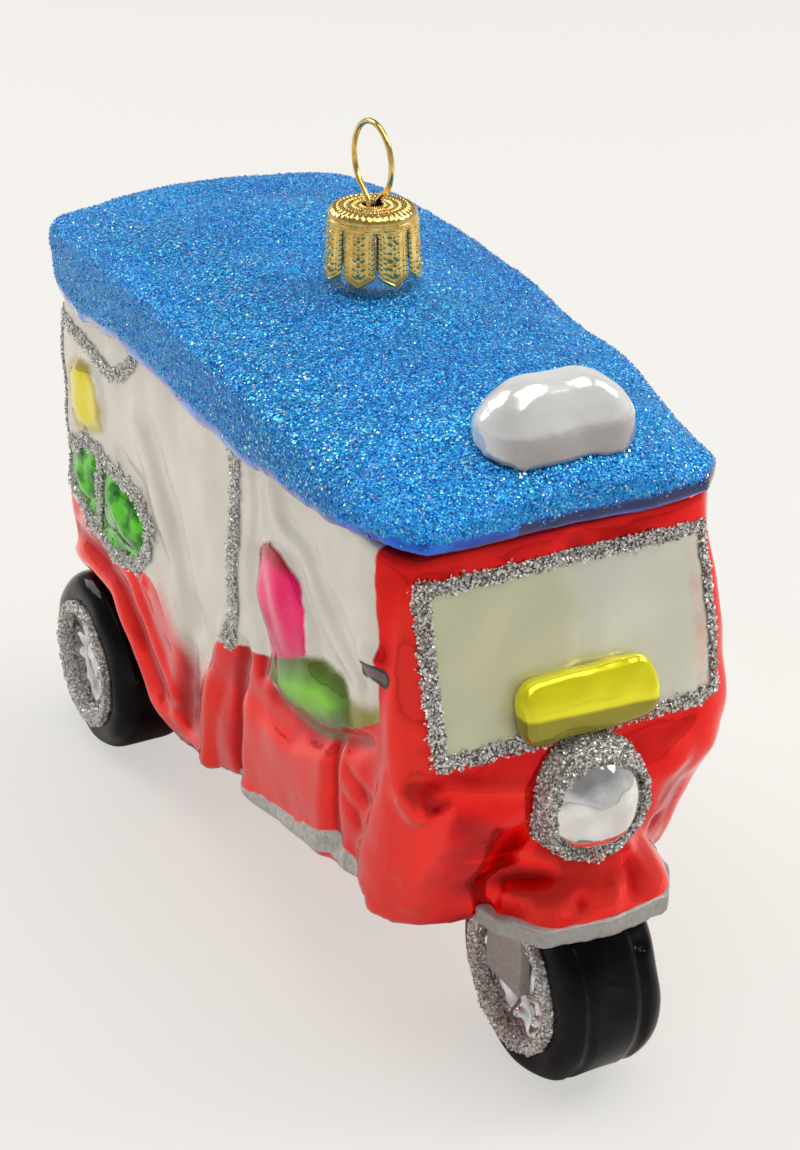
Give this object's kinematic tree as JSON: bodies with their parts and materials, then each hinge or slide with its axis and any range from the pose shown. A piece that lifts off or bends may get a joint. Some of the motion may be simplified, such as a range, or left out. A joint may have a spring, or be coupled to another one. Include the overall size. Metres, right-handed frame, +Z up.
{
  "type": "blown glass tuk-tuk christmas ornament",
  "caption": "Hanging ornament: a silvered, lacquered glass tuk-tuk with glitter trim, a lift-out gold crown cap and a turning wire loop.",
  "frame": {"origin": "centre of the bounding box at the surface under the three wheels", "axes": "+X forward along the tuk-tuk, +Y to its left, +Z up"},
  "size_m": [0.1356, 0.0546, 0.1153],
  "materials": {
    "roof_lacquer": "blue lacquer under fine blue glitter",
    "pearl_lacquer": "satin pearl white over silvering",
    "red_lacquer": "transparent candy red over silvering, high gloss",
    "silvered_glass": "mirror silver inside clear glass",
    "black_lacquer": "gloss black lacquer",
    "yellow_lacquer": "transparent yellow over silvering",
    "pink_lacquer": "hot pink lacquer",
    "green_lacquer": "transparent green over silvering",
    "silver_glitter": "coarse silver glitter flakes in glue",
    "pewter_paint": "dull pewter paint line",
    "gold_brass": "bright gold lacquered brass"
  },
  "bodies": {
    "glass": {"roof_glass": "roof_lacquer", "neck_glass": "silvered_glass", "cabin_glass": "pearl_lacquer", "windscreen_glass": "pearl_lacquer", "front_frame_glass": "red_lacquer", "front_apron_glass": "red_lacquer", "lower_body_glass": "red_lacquer", "belly_glass": "red_lacquer", "front_mudguard_glass": "red_lacquer", "mudguard_lip_trim": "pewter_paint", "headlamp_glass": "silvered_glass", "headlamp_glitter_ring": "silver_glitter", "roof_sign_glass": "pearl_lacquer", "dash_plate_glass": "yellow_lacquer", "windscreen_glitter_frame": "silver_glitter", "front_tyre": "black_lacquer", "front_hub_right": "silvered_glass", "rear_hub_right": "silvered_glass", "rear_tyre_right": "black_lacquer", "front_wheel_glitter_right": "silver_glitter", "rear_wheel_glitter_right": "silver_glitter", "fork_plate_right": "pewter_paint", "side_post_glitter_right": "silver_glitter", "rear_hook_glitter_right": "silver_glitter", "rear_post_glitter_right": "silver_glitter", "rear_rail_glitter_right": "silver_glitter", "driver_backrest_right": "pink_lacquer", "driver_cushion_right": "green_lacquer", "passenger_backrest_right": "yellow_lacquer", "passenger_cushion_rear_right": "green_lacquer", "passenger_cushion_front_right": "green_lacquer", "handlebar_grip_right": "pewter_paint", "sill_line_trim_right": "pewter_paint", "turn_lamp_glass_right": "red_lacquer", "front_hub_left": "silvered_glass", "rear_hub_left": "silvered_glass", "rear_tyre_left": "black_lacquer", "front_wheel_glitter_left": "silver_glitter", "rear_wheel_glitter_left": "silver_glitter", "fork_plate_left": "pewter_paint", "side_post_glitter_left": "silver_glitter", "rear_hook_glitter_left": "silver_glitter", "rear_post_glitter_left": "silver_glitter", "rear_rail_glitter_left": "silver_glitter", "driver_backrest_left": "pink_lacquer", "driver_cushion_left": "green_lacquer", "passenger_backrest_left": "yellow_lacquer", "passenger_cushion_rear_left": "green_lacquer", "passenger_cushion_front_left": "green_lacquer", "handlebar_grip_left": "pewter_paint", "sill_line_trim_left": "pewter_paint", "turn_lamp_glass_left": "red_lacquer"},
    "cap": {"gold_cap": "gold_brass"},
    "hanger": {"hanger_wire": "gold_brass"}
  },
  "joints": [
    {"name": "cap_lift", "type": "slide", "parent": "glass", "child": "cap", "axis": [0, 0, 1], "range_m": [0, 0.022]},
    {"name": "hanger_turn", "type": "hinge", "parent": "cap", "child": "hanger", "pos_m": [-0.001, 0, 0.1035], "axis": [0, 0, 1], "continuous": true}
  ]
}
